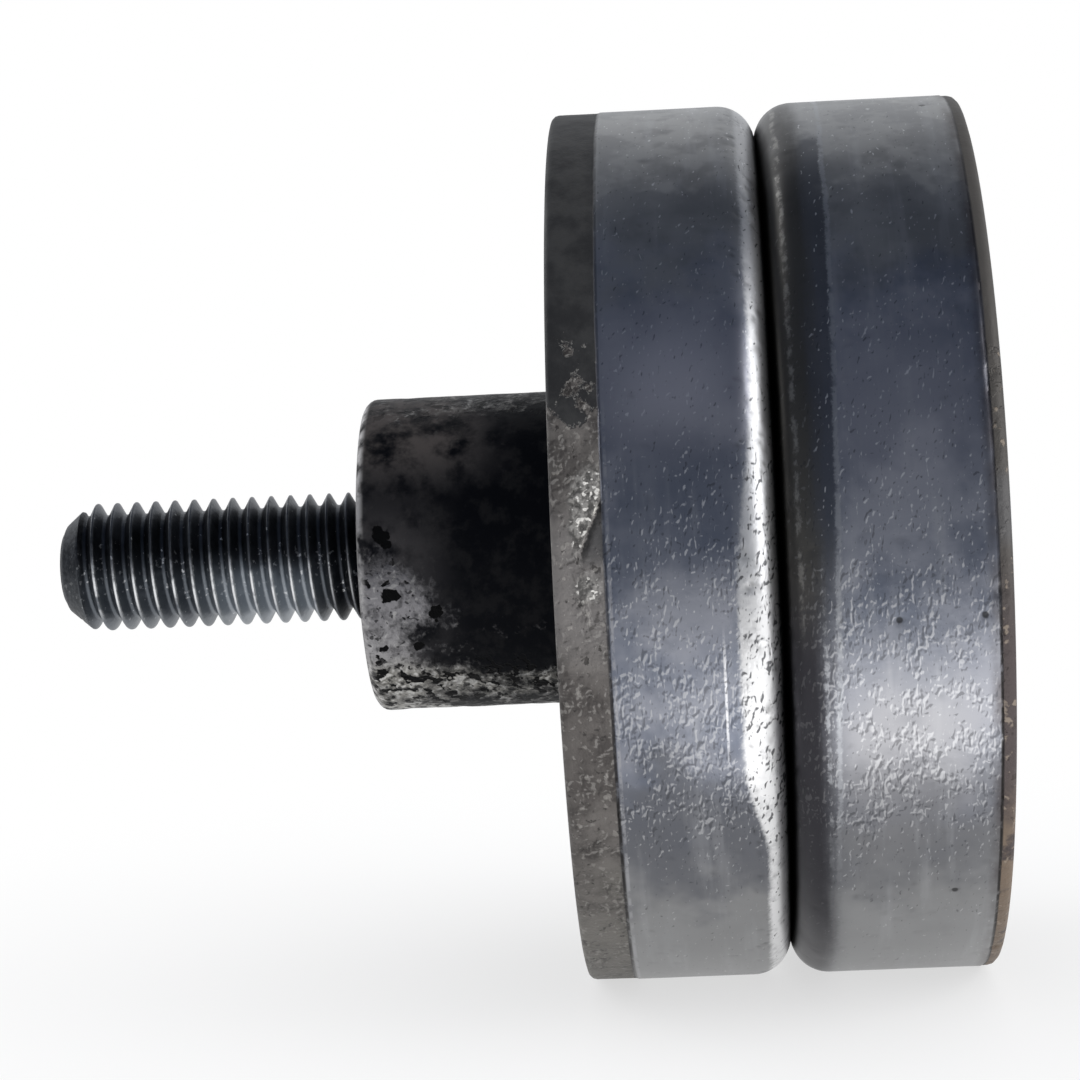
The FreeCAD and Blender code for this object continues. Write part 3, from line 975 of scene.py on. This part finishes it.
def forging_scale_look():
    """Black scale over grey steel, with sharp flaked edges and speckle, and a turned face."""
    material, place = dressed("forging_scale_look")
    _, y, z = axes_of(place)
    fine = grains(place, 1.8, 3.0, 0.6)
    broad = grains(place, 0.34, 4.0, 0.6)
    flaky = ramp(z, -6.4, -8.6) + ramp(z, 9.6, 11.4, 0.6)
    bare = ramp((fine - 0.5) * 0.55 + marked(place, "bare"), 0.33, 0.74)
    chip_field = flaky * -0.07 + grains(place, 1.2, 2.5)
    chips = ramp(chip_field, 0.38, 0.35) * largest(bare, flaky)
    shifts = add(place.id_data, "ShaderNodeTexNoise", {"Vector": place, "Scale": 1.1, "Detail": 2.0}).outputs
    jagged = vector_calc("MULTIPLY_ADD", shifts[1], (1.6, 1.6, 1.6), place)[0]
    jagged = vector_calc("SUBTRACT", jagged, (0.8, 0.8, 0.8))[0]
    for degrees, along, reach in lost_chips:
        chips = largest(chips, spot(jagged, on_turn(degrees, sleeve_radius, along * mm), reach, 0.88))

    # Bare steel is grey near the face, and flaky and olive along the underside and the top.
    # Its lumps get painted shade on one side and painted highlight on the other.
    lumps, lump_painted_shade, lump_painted_highlight = roughened(place, 1.2, 2.0, 0.19, flaky * -0.05 + 0.05)
    grey = mix(ramp(z, 2.5, -3.5), (0.060, 0.058, 0.064), (0.260, 0.255, 0.267))
    grey = mix(ramp(z, -3.0, -6.5), grey, (0.370, 0.362, 0.370))
    olive = mix(ramp(broad, 0.4, 0.62), (0.190, 0.184, 0.170), (0.360, 0.350, 0.326))
    grey = mix(flaky, grey, olive)
    grey = mix(lump_painted_shade * (flaky * 0.4 + 0.5), grey, (0.02, 0.02, 0.02))
    grey = mix(lump_painted_highlight * (flaky * 0.4 + 0.3), grey, (0.72, 0.71, 0.69))
    specks = ramp(grains(place, 2.6, 0.0), 0.31, 0.25, 0.8)
    grey = mix(specks, grey, (0.02, 0.02, 0.022))

    # Whole scale is blue black, and browned towards the face and high up.
    high_up = ramp(z, 4.0, 9.0) * ramp(y, 18.0, 25.0)
    low_down = ramp(z, 5.0, 0.5, 0.6) + 0.25
    browned = largest(ramp(y, 22.0, 29.0) * low_down, high_up * 0.9)
    blotches = ramp(grains(place, 0.55, 4.0, 0.65), 0.46, 0.64)
    scale = mix(blotches, (0.0024, 0.0030, 0.0050), (0.0090, 0.0092, 0.0108))
    brown_colour = mix(high_up, (0.060, 0.0570, 0.0600), (0.078, 0.069, 0.067))
    scale = mix(ramp(broad, 0.36, 0.60) * browned, scale, brown_colour)
    flecks = ramp(fine, 0.58, 0.76, 0.6) * browned
    scale = mix(flecks, scale, (0.060, 0.057, 0.056))

    colour = mix(bare, scale, grey)
    colour = mix(chips, colour, (0.0025, 0.0026, 0.0030))
    # The edge by the face is rubbed, and painted lighter as its highlight.
    worn_edge_highlight = ramp(y, 29.9, 30.4) * ramp(broad, 0.40, 0.55)
    colour = mix(worn_edge_highlight * 0.8, colour, (0.50, 0.49, 0.49))
    on_face = ramp(y, 30.50, 30.58)
    rings = laid_on(place, turned_rings)["Rings"]
    faced = mix(ramp(rings, 0.35, 0.65), (0.240, 0.236, 0.232), (0.330, 0.327, 0.322))
    faced = mix(ramp(broad, 0.50, 0.70, 0.6), faced, (0.110, 0.104, 0.098))
    colour = mix(on_face, colour, faced)
    roughness = broad * 0.22 + 0.38
    metallic = largest(bare * (1.0 - chips), worn_edge_highlight, on_face) * 0.85
    height = chips * -0.8 + (fine * (bare * 0.5 + 0.3) + lumps * (bare * 1.2))
    height = rings * on_face * 0.25 + height * (on_face * -0.9 + 1.0)
    return joined(material, colour, roughness, metallic, height, 0.09 * mm, specular=0.05)


boss = finished("boss", sleeve_skin(), forging_scale_look(), sharp_degrees=50)
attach(boss, "axle")
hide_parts("spacer_sleeve")


# Hex bolt through the bearing and the sleeve: a rolled thread with a chamfered point, a plain shank,
# and a head with a washer face. Black oxide covers it and the crests are rubbed bright; low on the thread
# it gets a painted sheen, and its crests there painted glints.
bolt_low, bolt_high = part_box("mounting_bolt")
stud = next(mount for mount in frame["record"]["mounts"] if mount["name"] == "stud")
thread_radius = stud["dims"]["r_mm"] * mm
thread_start = stud["pos_m"][1]
bolt_tip = bolt_high.y
pitch = 1.5 * mm
thread_depth = 0.92 * mm
crest_flat = 0.14 * mm
crest_rounding = 0.05 * mm
root_rounding = 0.12 * mm
flank_run = thread_depth * math.tan(math.radians(30))
root_flat = pitch - crest_flat - 2 * flank_run
root_radius = thread_radius - thread_depth
point_length = 2.1 * mm
point_depth = 1.8 * mm
point_edge = 0.35 * mm
thread_steps = 96
shank_radius = 4.95 * mm
neck_radius = thread_radius - 0.45 * mm
neck_length = 2.0 * mm
neck_run = 0.4 * mm
head_top = bolt_low.y
head_across_flats = 17.0 * mm
head_chamfer = 0.6 * mm
head_chamfer_slope = math.tan(math.radians(30))
crown_radius = head_across_flats / 2 - head_chamfer
head_seat = -bearing_face
head_face_radius = 7.8 * mm
head_face_height = 0.6 * mm


def thread_skin():
    """Screw surface of the thread, cut flat at both ends and turned down to the point."""
    turns = math.ceil((bolt_tip - thread_start) / pitch) + 2
    corners = []
    for turn in range(turns):
        start = thread_start + (turn - 1.6) * pitch
        crest_end = start + crest_flat
        root_start = crest_end + flank_run
        corners += [
            (thread_radius, start, crest_rounding),
            (thread_radius, crest_end, crest_rounding),
            (root_radius, root_start, root_rounding),
            (root_radius, root_start + root_flat, root_rounding),
        ]
    axis_end = [(root_radius / 2, corners[-1][1], 0), (root_radius / 2, corners[0][1], 0)]
    skin = section(*corners, *axis_end)
    bmesh.ops.delete(skin, geom=skin.faces, context="FACES_ONLY")
    inner = [vert for vert in skin.verts if vert.co.x < 0.7 * root_radius]
    bmesh.ops.delete(skin, geom=inner, context="VERTS")
    flanks = [edge for edge in skin.edges if edge.calc_length() > 0.5 * flank_run]
    bmesh.ops.subdivide_edges(skin, edges=flanks, cuts=3)
    bmesh.ops.spin(
        skin, geom=skin.verts[:] + skin.edges[:], cent=(0, 0, 0), axis=(0, 1, 0),
        dvec=(0, pitch / thread_steps, 0), angle=math.tau, steps=thread_steps,
    )
    bmesh.ops.remove_doubles(skin, verts=skin.verts, dist=0.002 * mm)
    for cut, outwards in ((thread_start, -1), (bolt_tip, 1)):
        bmesh.ops.bisect_plane(
            skin, geom=skin.verts[:] + skin.edges[:] + skin.faces[:], dist=0.0001 * mm,
            plane_co=(0, cut, 0), plane_no=(0, outwards, 0), clear_outer=True,
        )
    for vert in skin.verts:
        into_point = vert.co.y - (bolt_tip - point_length)
        allowed = thread_radius - point_depth * max(0.0, into_point) / point_length
        allowed -= point_edge * rise(vert.co.y, bolt_tip - point_edge, bolt_tip)
        radius = math.hypot(vert.co.x, vert.co.z)
        if radius > allowed:
            vert.co.x *= allowed / radius
            vert.co.z *= allowed / radius
    return skin


def end_loop(shape, along):
    """Open edges of the skin that lie across the spin axis at one place."""
    def there(edge):
        return all(abs(vert.co.y - along) < 0.001 * mm for vert in edge.verts)
    return [edge for edge in shape.edges if edge.is_boundary and there(edge)]


def next_ring(shape, ring, form):
    """Carry a ring of edges on along the bolt; form gives radius and place along Y for each angle."""
    made = bmesh.ops.extrude_edge_only(shape, edges=ring)["geom"]
    for vert in [item for item in made if isinstance(item, bmesh.types.BMVert)]:
        angle = math.atan2(vert.co.z, vert.co.x)
        radius, along = form(angle)
        vert.co = (radius * math.cos(angle), along, radius * math.sin(angle))
    return [item for item in made if isinstance(item, bmesh.types.BMEdge) and item.is_boundary]


def hex_radius(angle):
    """Distance from the axis to the head's flats; a corner points to +X."""
    from_flat = math.fmod(angle + math.tau, math.tau / 6) - math.tau / 12
    return head_across_flats / 2 / math.cos(from_flat)


def chamfered_top(angle):
    """Edge where the crown's cone cuts the flats."""
    radius = hex_radius(angle)
    return radius, head_top + (radius - crown_radius) * head_chamfer_slope


def bolt_skin():
    """Head, shank and neck built ring by ring from the crown, and joined to the thread."""
    skin = thread_skin()
    bmesh.ops.holes_fill(skin, edges=end_loop(skin, bolt_tip), sides=0)
    crown = bmesh.ops.create_circle(skin, cap_ends=True, segments=thread_steps, radius=crown_radius)["verts"]
    bmesh.ops.rotate(skin, verts=crown, cent=(0, 0, 0), matrix=z_onto_y)
    bmesh.ops.translate(skin, verts=crown, vec=(0, head_top, 0))
    ring = end_loop(skin, head_top)
    neck_start = thread_start - neck_length
    forms = (
        chamfered_top,
        lambda angle: (hex_radius(angle), head_seat - head_face_height),
        lambda angle: (head_face_radius, head_seat - head_face_height),
        lambda angle: (head_face_radius, head_seat),
        lambda angle: (shank_radius, head_seat),
        lambda angle: (shank_radius, neck_start - neck_run),
        lambda angle: (neck_radius, neck_start),
        lambda angle: (neck_radius, thread_start - neck_run),
    )
    for form in forms:
        ring = next_ring(skin, ring, form)
    bmesh.ops.bridge_loops(skin, edges=ring + end_loop(skin, thread_start))
    bmesh.ops.remove_doubles(skin, verts=skin.verts, dist=0.001 * mm)
    bmesh.ops.recalc_face_normals(skin, faces=skin.faces)
    return skin


def black_oxide_look():
    """Black oxide on steel, rubbed bright on crests and corners, with a painted sheen and painted glints low
    on the thread.
    """
    material, place = dressed("black_oxide_look")
    _, y, z = axes_of(place)
    radius = radius_of(place)
    fine = grains(place, 2.6, 3.0, 0.6)
    broad = grains(place, 0.35, 3.0, 0.6)
    on_thread = ramp(y, 30.0, 31.0)
    past_neck = ramp(y, 33.2, 35.4)
    low_side = ramp((broad - 0.5) * 5.0 + z, 1.6, -1.6)
    # Painted sheen on the lower side past the neck: lighter, with a brighter patch, and a little more on the
    # flanks near the crests.
    painted_sheen_side = low_side * past_neck
    colour = mix(ramp(broad, 0.3, 0.7), (0.028, 0.032, 0.039), (0.070, 0.076, 0.088))
    colour = mix(painted_sheen_side * 0.45, colour, (0.24, 0.265, 0.295))
    sheen = spot(place, (-3.4 * mm, 38.4 * mm, -3.0 * mm), 6.5, 0.4) * painted_sheen_side
    colour = mix(sheen * 0.8, colour, (0.36, 0.39, 0.425))
    upper_flank = ramp(radius, 4.35, 4.85) * (on_thread * low_side)
    colour = mix(upper_flank * 0.15, colour, (0.22, 0.235, 0.25))
    nicked = (fine - 0.5) * 0.25 + radius
    crest = ramp(nicked, 4.72, 4.88) * on_thread * ramp(grains(place, 0.8, 3.0), 0.30, 0.52)
    # The crests on the lower, lit side get painted glints; elsewhere they are only a little rubbed.
    lit_side = low_side * ramp(z, -4.2, -2.0)
    rubbed = crest * (lit_side * 0.94 + 0.06) * (past_neck * 0.65 + 0.35)
    chip_field = line_at(z, -0.8, 3.2) * 0.08 + grains(place, 2.4, 2.0)
    chips = ramp(chip_field, 0.69, 0.76, 0.6) * on_thread
    corners = ramp(nicked, 9.3, 9.75, 0.5) * ramp(y, -4.0, -5.0)
    colour = mix(largest(rubbed, corners, chips), colour, (0.84, 0.85, 0.86))
    on_point = ramp(y, 52.2, 53.0)
    dull = mix(ramp(fine, 0.36, 0.70), (0.028, 0.030, 0.033), (0.080, 0.084, 0.090))
    colour = mix(on_point * 0.8, colour, dull)
    roughness = on_point * 0.15 + (broad * 0.22 + 0.30)
    return joined(material, colour, roughness, 1.0, fine, 0.035 * mm)


bolt = finished("hex_bolt", bolt_skin(), black_oxide_look(), sharp_degrees=40)
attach(bolt, "axle")
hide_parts("mounting_bolt")
